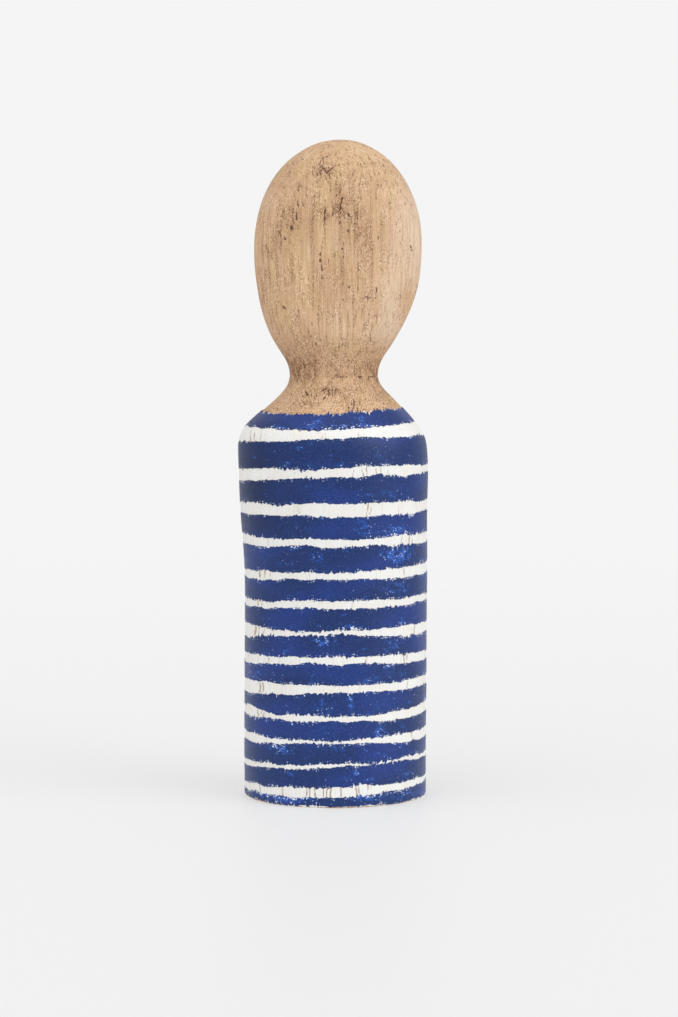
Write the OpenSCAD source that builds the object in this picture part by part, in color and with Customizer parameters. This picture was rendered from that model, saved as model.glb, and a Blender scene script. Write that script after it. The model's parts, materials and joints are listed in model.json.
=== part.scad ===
// A carved peg figure: a bare wooden head glued on a round-shouldered wooden body that wears a
// white ground coat and hand-brushed blue bands. Millimetres, +Z up. The front faces -Y, and the
// origin is the middle of the foot. Angles go round the figure from its front towards +X.

/* [Overall] */
// Height of the whole figure
figure_h = 300; // [285:1:315]
// Height of the glued joint, at the neck's narrowest place
neck_z = 192.5; // [185:0.5:200]

/* [Body] */
// Width of the body at its foot
foot_w = 83.2; // [80:0.1:86]
// Width of the body just under the shoulders
shoulder_w = 86.2; // [84:0.1:92]
// Depth of the body as a share of its width
body_depth = 0.93; // [0.85:0.01:1]
// Radius of the worn edge round the foot
foot_round = 2; // [1.5:0.5:3]
// Fall of the shoulders, as width lost for each unit of height
shoulder_slope = 1.06; // [0.95:0.01:1.15]

/* [Head and neck] */
// Width of the neck at the joint
neck_w = 40.2; // [36:0.1:44]
// Width of the head at the cheeks
head_w = 76; // [70:0.1:82]
// Depth of the head as a share of its width, before the face is flattened
head_depth = 0.86; // [0.8:0.01:0.95]
// The same share at the crown, where the head is fuller
crown_depth = 1; // [0.85:0.01:1.05]
// Height of the cheeks above the joint
cheek_rise = 59.5; // [56:0.5:63]
// Distance from the head's middle to the flat of the face
face_y = 28; // [26:0.5:32]

/* [Neck dowel] */
// Diameter of the dowel and of its two sockets
dowel_d = 12; // [8:1:14]
// Length of the dowel
dowel_l = 44; // [30:1:46]
// Number of glue flutes round the dowel
dowel_flutes = 12; // [6:1:14]

/* [Paint] */
// Thickness of the white ground coat
ground_t = 0.2; // [0.15:0.05:0.3]
// Thickness of the blue bands
band_t = 0.15; // [0.1:0.05:0.3]
// How far the brush strays from level round the back
brush_stray = 0.8; // [0:0.1:1.2]

/* [Hidden] */
// Painted bands from the neckline down, as [upper edge, lower edge]. An edge is [height at the
// middle of the front, rise from there to the right, lift of both sides above the middle]. The
// last band runs off the worn foot, so its lower edge isn't used.
BANDS = [
    [[176.5, 1, 1], [169.2, 1, 2]],
    [[166, 1.5, -2], [152.5, 1, 0]],
    [[148.5, 1.5, -1.5], [136.5, 0.5, 0]],
    [[131, 0.5, 0], [120.5, 0.5, 1]],
    [[117.5, 0.5, -0.5], [106, 1.5, 1]],
    [[103, 1, -0.5], [93, 1, 0.5]],
    [[90, 1, -0.5], [79.5, 0.5, 1.5]],
    [[78, 0.5, -3], [68, 0.5, -0.5]],
    [[65, 0.5, -2], [55, 0.5, 1]],
    [[52, 1.5, -1.5], [41, 0.5, 3]],
    [[39, 0.5, 0], [30.5, 0.5, 1]],
    [[29, 0.5, -1.5], [19.5, 1.5, 0.5]],
    [[18.5, 2, -1.5], [9.5, 1.5, -0.5]],
    [[5, 1.5, 1], [0, 0, 0]],
];
// Neck height that the bands above are given for
BANDS_FOR_NECK_Z = 192.5;
// Side lean of the figure's middle line, as [height, offset]
LEAN = [
    [0, 0], [95, 0.3], [150, -0.9], [169, -1.5], [183, 0], [192, -0.5],
    [206, -0.6], [238, 1.2], [285, 1.7], [300, 2.3],
];

SIDES = 48;        // facets round the figure
FINE_STEP = 2.5;   // ring spacing where the outline curves
COARSE_STEP = 22;  // ring spacing up the plain wall
DOME_RINGS = 9;    // rings from the cheeks to the crown
BAND_RINGS = 5;    // rings in a band on the shoulders
SHOULDER_Z = neck_z - 37.5; // where the wall starts to turn in
WAIST_Z = 90;               // below this the wall is straight
FREE_Y = 90;       // limit so far out that the figure stays round
SHOULDER_RUN = 3.8; // how far short of the joint the shoulder line would meet the neck
CHIN_RUN = 1.1;    // how far past the joint the egg of the head would close
EGG_POWER = 2.1;   // 2 is an ellipse, and more is fuller
JOINT_EASE = 0.35; // rounding of both edges at the glued joint
SHOULDER_BEND = 16; // how tightly the wall turns into the shoulders; more is tighter
COLLAR_BEND = 12;  // how tightly the shoulders turn into the neck
CHIN_BEND = 8;     // how tightly the head turns into the neck
FACE_BEND = 6;     // how tightly the face turns into the cheeks
BODY_DEPTH_TOP = neck_z - 8; // up to here the depth is the body's share of the width
HEAD_DEPTH_Z = neck_z + 42;  // here the depth is the head's share of the width
FACE_Z = neck_z + 25;        // from here up the face is flat
STRAY_TURNS = [57, 131];     // degrees that the two waves of an edge turn from edge to edge
STRAY_FINE = 0.6;  // height of the shorter wave as a share of the longer one
ROUND = 48;        // facets of the dowel and its sockets
FLUTE_SIDES = 24;
FILM_GAP = 0.06;   // clearance under each coat
WORN_Z = 1.6;      // lower edge of the last band, where the foot has worn it away
GROUND_Z = 1.3;    // lower edge of the ground coat
NECKLINE_GAP = 0.3; // ground coat showing short of the first band
SOCKET_GAP = 1;    // glue room past each end of the dowel
DOWEL_CHAMFER = 1;
FLUTE_R = 0.8;
CHEEK_Z = neck_z + cheek_rise;
// Depth as a share of the width, as [height, share]
DEPTHS = [[BODY_DEPTH_TOP, body_depth], [HEAD_DEPTH_Z, head_depth], [figure_h, crown_depth]];

function band_name(i) = str("blue_band_", i < 9 ? "0" : "", i + 1);

// Smooth joins of two sizes: near the smaller, near the larger, and a size held under a limit.
function soft_min(a, b, k) = pow(pow(a, -k) + pow(b, -k), -1 / k);
function soft_max(a, b, k) = pow(pow(a, k) + pow(b, k), 1 / k);
function soft_limit(v, limit, k) = v / pow(1 + pow(abs(v) / limit, k), 1 / k);

// Rises smoothly from 0 to 1 as v goes from low to high.
function ramp(v, low, high) =
    let (t = min(max((v - low) / (high - low), 0), 1))
    t * t * (3 - 2 * t);

// Value of a table of [height, value] at height z, eased between its rows.
function eased(z, table, i = 0) =
    z <= table[0][0] ? table[0][1]
    : i > len(table) - 2 ? table[i][1]
    : z > table[i + 1][0] ? eased(z, table, i + 1)
    : table[i][1] + (table[i + 1][1] - table[i][1]) * ramp(z, table[i][0], table[i + 1][0]);

// Half width of the body: wall, sloping shoulders and neck, less the worn foot edge.
function body_half(z) =
    let (
        wall = eased(z, [[WAIST_Z, foot_w / 2], [SHOULDER_Z, shoulder_w / 2]]),
        slope = shoulder_slope * (neck_z - SHOULDER_RUN - z) + neck_w / 2,
        worn = z < foot_round ? foot_round - sqrt(pow(foot_round, 2) - pow(foot_round - z, 2)) : 0
    )
    soft_max(soft_min(wall, slope, SHOULDER_BEND), neck_w / 2, COLLAR_BEND) - worn;

// Half width of the head: an egg that runs into the neck.
function head_half(z) =
    let (
        reach = z > CHEEK_Z ? figure_h - CHEEK_Z : cheek_rise + CHIN_RUN,
        egg = head_w / 2 * sqrt(max(0, 1 - pow(abs(z - CHEEK_Z) / reach, EGG_POWER)))
    )
    z > CHEEK_Z ? egg : soft_max(egg, neck_w / 2, CHIN_BEND);

function half_width(z) =
    (z > neck_z ? head_half(z) : body_half(z)) - max(0, JOINT_EASE - abs(z - neck_z));

// Point of the carved surface at an angle and height, pushed out by a paint thickness.
function skin(angle, z, out = 0) =
    let (
        step = 0.05,
        w = half_width(z),
        d = w * eased(z, DEPTHS),
        flat = cos(angle) > 0 ? eased(z, [[neck_z, FREE_Y], [FACE_Z, face_y]]) : FREE_Y,
        fall = out == 0 ? 0 : (half_width(z + step) - half_width(z - step)) / (2 * step),
        push = out / sqrt(1 + fall * fall)
    )
    [
        eased(z, LEAN) + (w + push) * sin(angle),
        -soft_limit(d * cos(angle), flat, FACE_BEND) - push * cos(angle),
        z - push * fall
    ];

function angles() = [for (i = [0 : SIDES - 1]) i * 360 / SIDES];
function ring(z, out = 0) = [for (a = angles()) skin(a, z, out)];

// How far a band's edge strays from level at an angle: not at all in front, and on waves of its
// own round the back.
function stray(angle, edge_count) =
    brush_stray * ramp(-cos(angle), 0, 0.8) * (
        sin(2 * angle + STRAY_TURNS[0] * edge_count)
        + STRAY_FINE * sin(3 * angle + STRAY_TURNS[1] * edge_count)
    );

// Height of a band's edge at an angle. Edges are counted from the neckline down.
function edge_z(edge, angle, edge_count) =
    (edge[0] + edge[1] * sin(angle) + edge[2] * pow(sin(angle), 2)) * neck_z / BANDS_FOR_NECK_Z
    + stray(angle, edge_count);

function upper_z(i, angle) = edge_z(BANDS[i][0], angle, 2 * i);
function lower_z(i, angle) =
    i == len(BANDS) - 1 ? WORN_Z : edge_z(BANDS[i][1], angle, 2 * i + 1);

// Heights of the rings that shape the body, from the foot to the joint.
BODY_Z = concat(
    [0, foot_round * 0.25, foot_round],
    [for (z = [COARSE_STEP : COARSE_STEP : SHOULDER_Z - COARSE_STEP / 2]) z],
    [for (z = [SHOULDER_Z : FINE_STEP : neck_z - FINE_STEP / 2]) z],
    [neck_z - JOINT_EASE, neck_z]
);

// Solid skinned over rings of points that go up the figure. A hollow one closes on its first
// ring, and otherwise the ends are capped, the upper one with a tip if there is one.
module loft(rings, tip = undef, hollow = false) {
    n = len(rings[0]);
    count = len(rings);
    top = (count - 1) * n;
    walls = [
        for (i = [0 : count - (hollow ? 1 : 2)], j = [0 : n - 1])
            let (a = i * n, b = (i + 1) % count * n, k = (j + 1) % n)
                each [[a + j, b + j, b + k], [a + j, b + k, a + k]]
    ];
    foot_cap = hollow ? [] : [[for (j = [0 : n - 1]) j]];
    top_cap = hollow ? []
        : tip == undef ? [[for (j = [n - 1 : -1 : 0]) top + j]]
        : [for (j = [0 : n - 1]) [top + j, count * n, top + (j + 1) % n]];
    polyhedron(
        points = concat([for (r = rings) each r], tip == undef ? [] : [tip]),
        faces = concat(walls, foot_cap, top_cap)
    );
}

// Thin coat between two distances from the carved surface. rows holds lists of heights, one
// height for each angle, from the coat's lower edge to its upper one.
module coat(rows, inner, outer) {
    a = angles();
    last = len(rows) - 1;
    function row(r, out) = [for (i = [0 : SIDES - 1]) skin(a[i], rows[r][i], out)];
    loft(
        concat([for (r = [0 : last]) row(r, outer)], [for (r = [last : -1 : 0]) row(r, inner)]),
        hollow = true
    );
}

module at_joint() {
    translate([eased(neck_z, LEAN), 0, neck_z]) children();
}

module socket(depth) {
    cylinder(d = dowel_d, h = depth, $fn = ROUND);
}

module head() {
    dome = [
        for (i = [0 : DOME_RINGS - 1])
            CHEEK_Z + (figure_h - CHEEK_Z) * sin(i * 90 / DOME_RINGS)
    ];
    chin = [for (z = [neck_z + FINE_STEP : 2 * FINE_STEP : CHEEK_Z - FINE_STEP]) z];
    color("burlywood")
        difference() {
            loft(
                [for (z = concat([neck_z, neck_z + JOINT_EASE], chin, dome)) ring(z)],
                tip = [eased(figure_h, LEAN), 0, figure_h]
            );
            at_joint() translate([0, 0, -1]) socket(dowel_l / 2 + SOCKET_GAP + 1);
        }
}

module body() {
    color("tan")
        difference() {
            loft([for (z = BODY_Z) ring(z)]);
            at_joint() mirror([0, 0, 1]) translate([0, 0, -1]) socket(dowel_l / 2 + SOCKET_GAP + 1);
        }
}

module neck_dowel() {
    r = dowel_d / 2;
    color("wheat")
        at_joint() translate([0, 0, -dowel_l / 2])
            difference() {
                union() {
                    cylinder(r1 = r - DOWEL_CHAMFER, r2 = r, h = DOWEL_CHAMFER, $fn = ROUND);
                    translate([0, 0, DOWEL_CHAMFER])
                        cylinder(r = r, h = dowel_l - 2 * DOWEL_CHAMFER, $fn = ROUND);
                    translate([0, 0, dowel_l - DOWEL_CHAMFER])
                        cylinder(r1 = r, r2 = r - DOWEL_CHAMFER, h = DOWEL_CHAMFER, $fn = ROUND);
                }
                for (i = [0 : dowel_flutes - 1])
                    rotate(i * 360 / dowel_flutes) translate([r + FLUTE_R / 2, 0, -1])
                        cylinder(r = FLUTE_R, h = dowel_l + 2, $fn = FLUTE_SIDES);
            }
}

module white_ground_coat() {
    neckline = [for (a = angles()) upper_z(0, a) - NECKLINE_GAP];
    lower = [for (a = angles()) GROUND_Z];
    between = [for (z = BODY_Z) if (z >= foot_round && z < min(neckline) - 1) [for (a = angles()) z]];
    color("ivory") coat(concat([lower], between, [neckline]), FILM_GAP, FILM_GAP + ground_t);
}

module blue_band(i) {
    spans = upper_z(i, 0) > SHOULDER_Z ? BAND_RINGS : 1;
    rows = [
        for (r = [0 : spans])
            [for (a = angles()) lower_z(i, a) + (upper_z(i, a) - lower_z(i, a)) * r / spans]
    ];
    base = 2 * FILM_GAP + ground_t;
    color("midnightblue") coat(rows, base, base + band_t);
}

head();
body();
neck_dowel();
white_ground_coat();
for (i = [0 : len(BANDS) - 1])
    blue_band(i);
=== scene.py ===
"""Looks of a carved peg figure: bare wooden head and shoulders, a white ground coat, blue bands.

Every shape starts from the CAD frame. The rings of the CAD head and body are joined into one
smooth skin, and each piece is a closed solid laid on that skin: the carved wood, then the white
coat, then the bands, whose edges come from the CAD bands. Lengths are in metres, and small ones
are written as a number of MM.
"""
import json
import math

import bpy
import numpy as np
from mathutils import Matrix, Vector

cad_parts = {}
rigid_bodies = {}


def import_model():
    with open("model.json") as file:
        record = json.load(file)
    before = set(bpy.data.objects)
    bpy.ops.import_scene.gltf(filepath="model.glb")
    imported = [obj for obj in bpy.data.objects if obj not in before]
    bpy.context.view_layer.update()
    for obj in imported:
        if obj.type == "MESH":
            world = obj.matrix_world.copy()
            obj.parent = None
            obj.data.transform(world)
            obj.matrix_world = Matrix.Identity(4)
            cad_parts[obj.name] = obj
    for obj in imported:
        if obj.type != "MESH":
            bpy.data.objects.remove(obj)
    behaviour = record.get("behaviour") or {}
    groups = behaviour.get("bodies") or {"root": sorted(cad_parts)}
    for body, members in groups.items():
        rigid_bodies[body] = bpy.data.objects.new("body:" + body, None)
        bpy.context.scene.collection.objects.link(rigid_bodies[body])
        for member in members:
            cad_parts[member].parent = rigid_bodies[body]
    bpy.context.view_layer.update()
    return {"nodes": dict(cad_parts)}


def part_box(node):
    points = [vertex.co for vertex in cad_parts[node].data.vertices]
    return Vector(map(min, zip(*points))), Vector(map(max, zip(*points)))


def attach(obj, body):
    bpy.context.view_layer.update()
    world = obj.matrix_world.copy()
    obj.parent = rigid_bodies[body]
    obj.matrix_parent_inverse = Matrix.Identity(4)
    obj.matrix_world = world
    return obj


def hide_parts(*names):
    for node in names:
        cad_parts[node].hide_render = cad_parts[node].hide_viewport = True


for default in list(bpy.data.objects):
    bpy.data.objects.remove(default)
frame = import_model()

MM = 0.001
BODY = "root"
NODES = frame["nodes"]
BANDS = sorted(name for name in NODES if name.startswith("blue_band_"))

COLUMNS = 960            # points round each piece, a multiple of the CAD's sides
SKIN_STEP = 0.4 * MM     # spacing of the smooth skin's own rings
EDGE_ZONE = 1 * MM       # CAD rings closer than this to the foot or the joint are worn edges
LEVEL = 0.01 * MM        # points within this height of each other are in one ring
AHEAD = 1e-4             # radians by which a ring's first point may miss the front

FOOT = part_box("body")[0].z
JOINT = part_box("head")[0].z
DOWEL_LOW, DOWEL_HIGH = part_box("neck_dowel")

COAT_T = 0.2 * MM        # thickness of the white coat
BAND_T = 0.16 * MM       # thickness of a blue band
FILM_GAP = 0.03 * MM     # clearance under each coat


# ---- noise

SPREADERS = np.array([374761393, 668265263, 2147483647])  # large odd numbers for x, y and z
SEED_SPREADER = 1274126177
MIXERS = ((13, 1103515245), (15, 12345677))               # shifts and factors that mix the bits
BITS = 0x7FFFFFFF
NOISE_GAIN = 1.4         # stretches noise to about -1 to 1


def hashed(cell, seed):
    """Repeatable numbers from -1 to 1 for an array of whole-number cells, x, y and z last."""
    n = cell @ SPREADERS + seed * SEED_SPREADER
    for shift, factor in MIXERS:
        n = (n ^ (n >> shift)) * factor & BITS
    return n / (BITS // 2) - 1


def noise(points, size, seed=0):
    """Smooth noise from about -1 to 1. size is a feature's length, or one length for each axis."""
    place = np.asarray(points) / size
    cell = np.floor(place).astype(np.int64)
    f = place - cell
    ease = f * f * f * (f * (f * 6 - 15) + 10)
    total = 0.0
    for corner in np.ndindex(2, 2, 2):
        weight = np.prod(np.where(corner, ease, 1 - ease), axis=-1)
        total = total + weight * hashed(cell + np.array(corner), seed)
    return total * NOISE_GAIN


def clamp(value, low=0.0, high=1.0):
    return np.minimum(np.maximum(value, low), high)


def ramp(value, low, high):
    """Rises smoothly from 0 to 1 as value goes from low to high."""
    t = clamp((value - low) / (high - low))
    return t * t * (3 - 2 * t)


# ---- the skin, from the CAD frame

def vertices(name):
    """The different points of a CAD node's mesh."""
    points = np.zeros(len(NODES[name].data.vertices) * 3)
    NODES[name].data.vertices.foreach_get("co", points)
    return np.unique(points.reshape(-1, 3).round(7), axis=0)


def in_order(ring):
    """A ring's points in order, from the front (-Y) towards +X."""
    x, y = (ring[:, :2] - ring[:, :2].mean(0)).T
    turn = np.arctan2(x, -y)
    order = np.argsort(np.where(turn < -AHEAD, turn + math.tau, turn))
    return ring[order]


def cad_rings(name, sides):
    """The outline rings of a CAD node, apart from the ones at its worn edges."""
    points = vertices(name)
    rings = []
    for z in np.unique(points[:, 2].round(6)):
        ring = points[abs(points[:, 2] - z) < LEVEL]
        worn = abs(z - FOOT) < EDGE_ZONE or abs(z - JOINT) < EDGE_ZONE
        if len(ring) == sides and not worn:
            rings.append(in_order(ring))
    return rings


def round_up(waves, sides):
    """Values in every column on smooth closed curves, from their waves over the CAD's sides."""
    more = np.zeros((len(waves), COLUMNS // 2 + 1, waves.shape[2]), complex)
    more[:, :waves.shape[1]] = waves
    return np.fft.irfft(more, COLUMNS, axis=1) * COLUMNS / sides


def spline(knots, values, at):
    """A smooth curve through one row of values at each knot, read at the given places."""
    n, h = len(knots), np.diff(knots)
    slope = np.diff(values, axis=0) / h[:, None]
    left = np.eye(n)
    right = np.zeros_like(values)
    for i in range(1, n - 1):
        left[i, i - 1:i + 2] = h[i - 1], 2 * (h[i - 1] + h[i]), h[i]
        right[i] = 6 * (slope[i] - slope[i - 1])
    bend = np.linalg.solve(left, right)
    i = np.clip(np.searchsorted(knots, at) - 1, 0, n - 2)
    step = h[i][:, None]
    a = (knots[i + 1] - at)[:, None] / step
    b = 1 - a
    curve = (a ** 3 - a) * bend[i] + (b ** 3 - b) * bend[i + 1]
    return a * values[i] + b * values[i + 1] + curve * step ** 2 / 6


class Skin:
    """The figure's smooth outline, before wear, as rings of points from the foot to the crown."""

    def __init__(self):
        wood = vertices("body"), vertices("head")
        self.sides = int((abs(wood[0][:, 2] - FOOT) < LEVEL).sum())
        rings = cad_rings("body", self.sides) + cad_rings("head", self.sides)
        foot = rings[0] * (1, 1, 0) + (0, 0, FOOT)
        tip = np.tile(wood[1][np.argmax(wood[1][:, 2])], (self.sides, 1))
        rings = np.array([foot] + rings + [tip])
        knots = self.lengths(rings)
        self.total = knots[-1]
        self.at = np.linspace(0, self.total, int(self.total / SKIN_STEP))
        over_the_top = np.roll(rings[-2:-5:-1], self.sides // 2, axis=1)
        rings = np.concatenate([rings, over_the_top])
        knots = np.concatenate([knots, 2 * self.total - knots[-2:-5:-1]])
        flat = spline(knots, rings.reshape(len(rings), -1), self.at)
        waves = np.fft.rfft(flat.reshape(len(self.at), self.sides, 3), axis=1)
        waves[:, -1] /= 2
        self.points = round_up(waves, self.sides)
        self.normals = self.outward(self.points)
        self.heights = self.points[..., 2].mean(1)

    @staticmethod
    def lengths(rings):
        """How far each ring is along the outline from the first."""
        flat = rings[..., :2]
        radius = np.linalg.norm(flat - flat.mean(1, keepdims=True), axis=2).mean(1)
        step = np.hypot(np.diff(radius), np.diff(rings[:, 0, 2]))
        return np.concatenate([[0], np.cumsum(step)])

    @staticmethod
    def outward(points):
        """Outward normals of a grid of points that ends at the crown."""
        round_it = np.roll(points, -1, axis=1) - np.roll(points, 1, axis=1)
        up_it = np.gradient(points, axis=0)
        normal = np.cross(round_it, up_it)
        normal /= np.maximum(np.linalg.norm(normal, axis=2, keepdims=True), 1e-12)
        normal[-1] = (0, 0, 1)
        return normal

    def rows(self, at):
        """Points and normals for rows of distances along the outline. A row is one distance, or
        one for each column."""
        at = np.broadcast_to(np.atleast_2d(np.asarray(at, float).T).T, (len(at), COLUMNS))
        place = clamp(at / self.total) * (len(self.at) - 1)
        low = np.minimum(place.astype(int), len(self.at) - 2)
        part = (place - low)[..., None]
        column = np.arange(COLUMNS)
        points = self.points[low, column] * (1 - part) + self.points[low + 1, column] * part
        normals = self.normals[low, column] * (1 - part) + self.normals[low + 1, column] * part
        return points, normals

    def along(self, height):
        """Distance along the outline at a height."""
        return np.interp(height, self.heights, self.at)

    def column_of(self, points):
        """For each point, the nearest CAD column and its distance along the outline there."""
        every = COLUMNS // self.sides
        coarse = self.points[:, ::every]
        row = np.searchsorted(self.heights, points[:, 2]).clip(0, len(self.heights) - 1)
        apart = np.linalg.norm(coarse[row, :, :2] - points[:, None, :2], axis=2)
        side = apart.argmin(1)
        near = np.array([
            np.linalg.norm(coarse[:, k] - p, axis=1).argmin() for k, p in zip(side, points)
        ])
        return side, self.at[near]


skin = Skin()
JOINT_AT = skin.along(JOINT)


def cad_edges(name):
    """How far along the outline a CAD coat's lower and upper edges are, in every column."""
    side, at = skin.column_of(vertices(name))
    edges = np.array([[at[side == k].min(), at[side == k].max()] for k in range(skin.sides)])
    low, high = round_up(np.fft.rfft(edges, axis=0)[None], skin.sides)[0].T
    return low, high


# ---- carving and wear

BROAD, BROAD_SIZE = 0.2 * MM, np.array([34, 34, 60]) * MM  # unevenness of the whole carving
CUTS, CUTS_SIZE = 0.1 * MM, np.array([9, 9, 26]) * MM      # and of single cuts
SET_BACK = 0.2 * MM      # how far in the body is, so that its paint stays in the CAD box
SET_BACK_RUN = 20 * MM   # length below the joint over which that begins

FOOT_WEAR = 1.1 * MM     # least radius of the worn foot edge
MORE_WEAR = 0.9 * MM     # and how much larger it is in places
CREASE = 0.2 * MM        # depth of the glued joint's crease
CREASE_WIDTH = 0.5 * MM
SEAM_WIDTH = 0.4 * MM    # width of the dirt in the crease
SEAM_DARK_X, SEAM_DARK_REACH = 12, 7  # where it is darkest, mm
SEAM_FADE = 12           # that part fades this much nearer the front than the areas listed for the front, mm

MARK_DEPTH = 0.25 * MM   # depth of the darkest marks in the wood
MARK_REACH = 5           # radii from a mark at which nothing is left of it
PITS = 620               # small pits tried anywhere on the bare wood
OPEN_GRAIN = 0.1         # a pit is kept where the noise of the grain is above this
PIT_LENGTH, PIT_RADIUS, PIT_DARKNESS = (0.2, 1.6), (0.15, 0.28), (0.3, 0.8)  # least and most, mm

NECK_DIRT_AND_SHADE = 0.35         # dirt and painted shade round the neck under the chin, and as much again at its sides
NECK_DARK_UP, NECK_DARK_REACH = 3, 8.5  # middle of the painted neck darkening above the joint, and its reach, mm
FRONT_FADE = (24, 2)     # y at which the areas listed for the front start to show, and show fully, mm

# Dark marks on the front of the bare wood, as short strokes: [from x, z, to x, z, radius,
# darkness]. Millimetres, except the last.
MARKS = [
    # a split knot under the crown
    [-8.2, 283.4, -7.9, 282.4, 0.3, 0.8], [-6.4, 284, -6.2, 283, 0.35, 0.9],
    [-4.4, 285, -4.2, 284, 0.35, 1], [-2.8, 286.2, -2.6, 285, 0.3, 0.9],
    [-1.6, 284.4, -1.3, 283.6, 0.3, 0.8], [-3.6, 288.6, -3.5, 287.4, 0.25, 0.7],
    [-1.4, 288.4, -1.3, 287.2, 0.25, 0.6], [-6.6, 289.4, -6.5, 288.2, 0.3, 0.8],
    [0.4, 284.8, 0.5, 283.6, 0.25, 0.6], [-7.5, 288, -5, 285.5, 0.3, 0.7],
    [-5.5, 286.5, -3.5, 283.5, 0.45, 1], [-3.2, 284.2, -1, 286, 0.35, 1],
    [-4.5, 283, -3.5, 280, 0.3, 0.7], [-5.8, 291, -5, 287.5, 0.3, 0.7],
    [-5, 290.5, -1.5, 292.2, 0.25, 0.6], [-1, 286, 3, 287.5, 0.2, 0.7],
    [3, 287.5, 8, 287.8, 0.2, 0.5], [-8.5, 284.5, -6.5, 286.5, 0.25, 0.5],
    [-2.5, 283.5, -2.2, 281.5, 0.3, 0.7], [5.5, 291.5, 7, 291, 0.3, 0.5],
    [-15, 290.5, -14.7, 290.2, 0.35, 0.8],
    # a line of pits down the left
    [-16, 280, -16.3, 276, 0.3, 0.7], [-15.3, 278.5, -14.8, 276.5, 0.25, 0.5],
    [-16.8, 271, -16.2, 268.5, 0.35, 0.8], [-14.6, 270.5, -14, 269, 0.35, 0.8],
    [-17.2, 266, -17, 262.5, 0.35, 0.9], [-16.8, 260.5, -16.6, 259, 0.3, 0.7],
    [-19.8, 259.8, -18.8, 258.6, 0.5, 1], [-25.2, 258, -24.8, 257, 0.35, 0.8],
    [-22.8, 255, -22.3, 254.2, 0.45, 1], [-30, 252.5, -25, 254.6, 0.2, 0.5],
    [-31, 252, -30, 248.5, 0.4, 0.7], [-29, 247, -28, 245.5, 0.35, 0.6],
    # pits across the brow
    [3.2, 272.5, 2.8, 270.5, 0.45, 1], [2.6, 270, 2.4, 267.5, 0.4, 0.9],
    [-0.6, 268, -1.2, 264.5, 0.4, 0.6], [-4.6, 266.5, -5, 263, 0.45, 0.8],
    [-4, 268, -4, 266.8, 0.3, 0.7], [5.6, 265.5, 6.6, 264.2, 0.4, 0.9],
    [7.6, 264.5, 7.4, 263, 0.3, 0.6], [5.6, 258, 6, 257.5, 0.45, 1],
    [-4.6, 261.6, -5, 260, 0.3, 0.5],
    # a crack down the middle of the face
    [-5.4, 255, -5.8, 250, 0.22, 0.6], [-6.4, 248, -6.6, 246.8, 0.35, 0.9],
    [-6.6, 245, -6.4, 244.4, 0.5, 1], [-6.2, 243, -5.8, 240.5, 0.35, 0.8],
    [-5.8, 238, -5.9, 236, 0.25, 0.6], [0, 247.5, -0.2, 246.3, 0.3, 0.7],
    # knocks on the cheeks and chin
    [6, 233, 6.4, 232.4, 0.45, 0.9], [18.6, 232.5, 18.6, 230.5, 0.35, 0.9],
    [18.4, 229, 18.2, 227.8, 0.3, 0.6], [14, 228.6, 15.2, 227.6, 0.5, 0.9],
    [10.5, 223.5, 10.6, 223, 0.35, 0.8], [18, 220.5, 18, 219.5, 0.3, 0.7],
    [-23, 224, -22.6, 223.4, 0.45, 1], [-26, 227, -25.6, 226, 0.3, 0.7],
    [34, 251.5, 34.6, 249.5, 0.4, 0.7],
    # open grain on the shoulders
    [-13.3, 186, -12.4, 184.6, 0.4, 1], [-14.6, 184.2, -14.2, 183.6, 0.3, 0.7],
    [-5.8, 186.6, -3.2, 188, 0.3, 0.9], [-2.6, 187.4, -2.8, 184.8, 0.35, 0.9],
    [-1.2, 187.6, -1.2, 184.6, 0.35, 0.9], [0, 187.4, 0, 185, 0.3, 0.7],
    [-9.4, 184, -9.1, 183, 0.3, 0.8], [-10.8, 185.4, -10.6, 184.4, 0.3, 0.7],
    [4.4, 183.4, 4.6, 182, 0.3, 0.7], [11, 181.4, 11.2, 180, 0.3, 0.7],
    [6, 179.6, 6.2, 178.4, 0.3, 0.8], [10, 178.8, 10.2, 177.4, 0.35, 0.9],
    [-7.4, 181.2, -7.2, 180, 0.3, 0.7], [-18.6, 181.4, -18.2, 180.2, 0.3, 0.6],
    [14, 183, 14.3, 182, 0.25, 0.6], [8.6, 182.4, 8.2, 178.6, 0.4, 0.8],
    [7.4, 182, 7.6, 180, 0.3, 0.7], [-4.4, 184, -5.4, 182.6, 0.3, 0.7],
    [-14.5, 182, -13.5, 180.4, 0.35, 0.7], [-11, 181, -10.6, 179.6, 0.35, 0.7],
    [-16, 180.6, -15, 179.4, 0.3, 0.6],
]

# Soft darker (or, below 0, paler) areas on the front: [x, z, half width, half height, strength].
# Millimetres, except the last. The darker ones are dark patches in the wood. Most paler ones, on
# the right side of the head, the crown and the shoulders, are painted highlights where the light
# falls.
STAINS_AND_PAINTED_LIGHT = [
    [-4, 286, 7, 8, 0.35], [11, 261, 10, 12, 0.22], [-4, 264, 9, 6, 0.28],
    [-20, 264, 6, 12, 0.28], [-26, 251, 8, 9, 0.22], [3, 270, 6, 7, 0.22], [-6, 240, 3, 16, 0.25],
    [11, 236, 4, 24, 0.12], [-34, 232, 5, 12, 0.30], [33, 224, 4, 10, 0.35],
    [17, 222, 4, 6, 0.22], [5, 181, 5, 5, 0.25], [-12, 182, 7, 4, 0.30], [-2, 186, 5, 3, 0.30],
    [-22, 214, 8, 14, 0.10], [14, 250, 6, 14, 0.10], [0, 254, 4, 9, -0.30],
    [36, 258, 14, 34, -0.48], [24, 218, 10, 20, -0.38], [8, 294, 18, 8, -0.15],
    [-12, 292, 10, 5, -0.20], [-12, 250, 5, 8, -0.25], [2, 214, 14, 14, -0.24],
    [-30, 272, 6, 8, -0.25], [-22, 182, 8, 5, -0.25], [24, 183, 9, 6, 0.20],
    [0, 180, 12, 4, -0.20],
]


def front(y):
    """1 over the front of the figure, fading to 0 round its sides. y is in millimetres."""
    return ramp(y, *FRONT_FADE)


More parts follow.
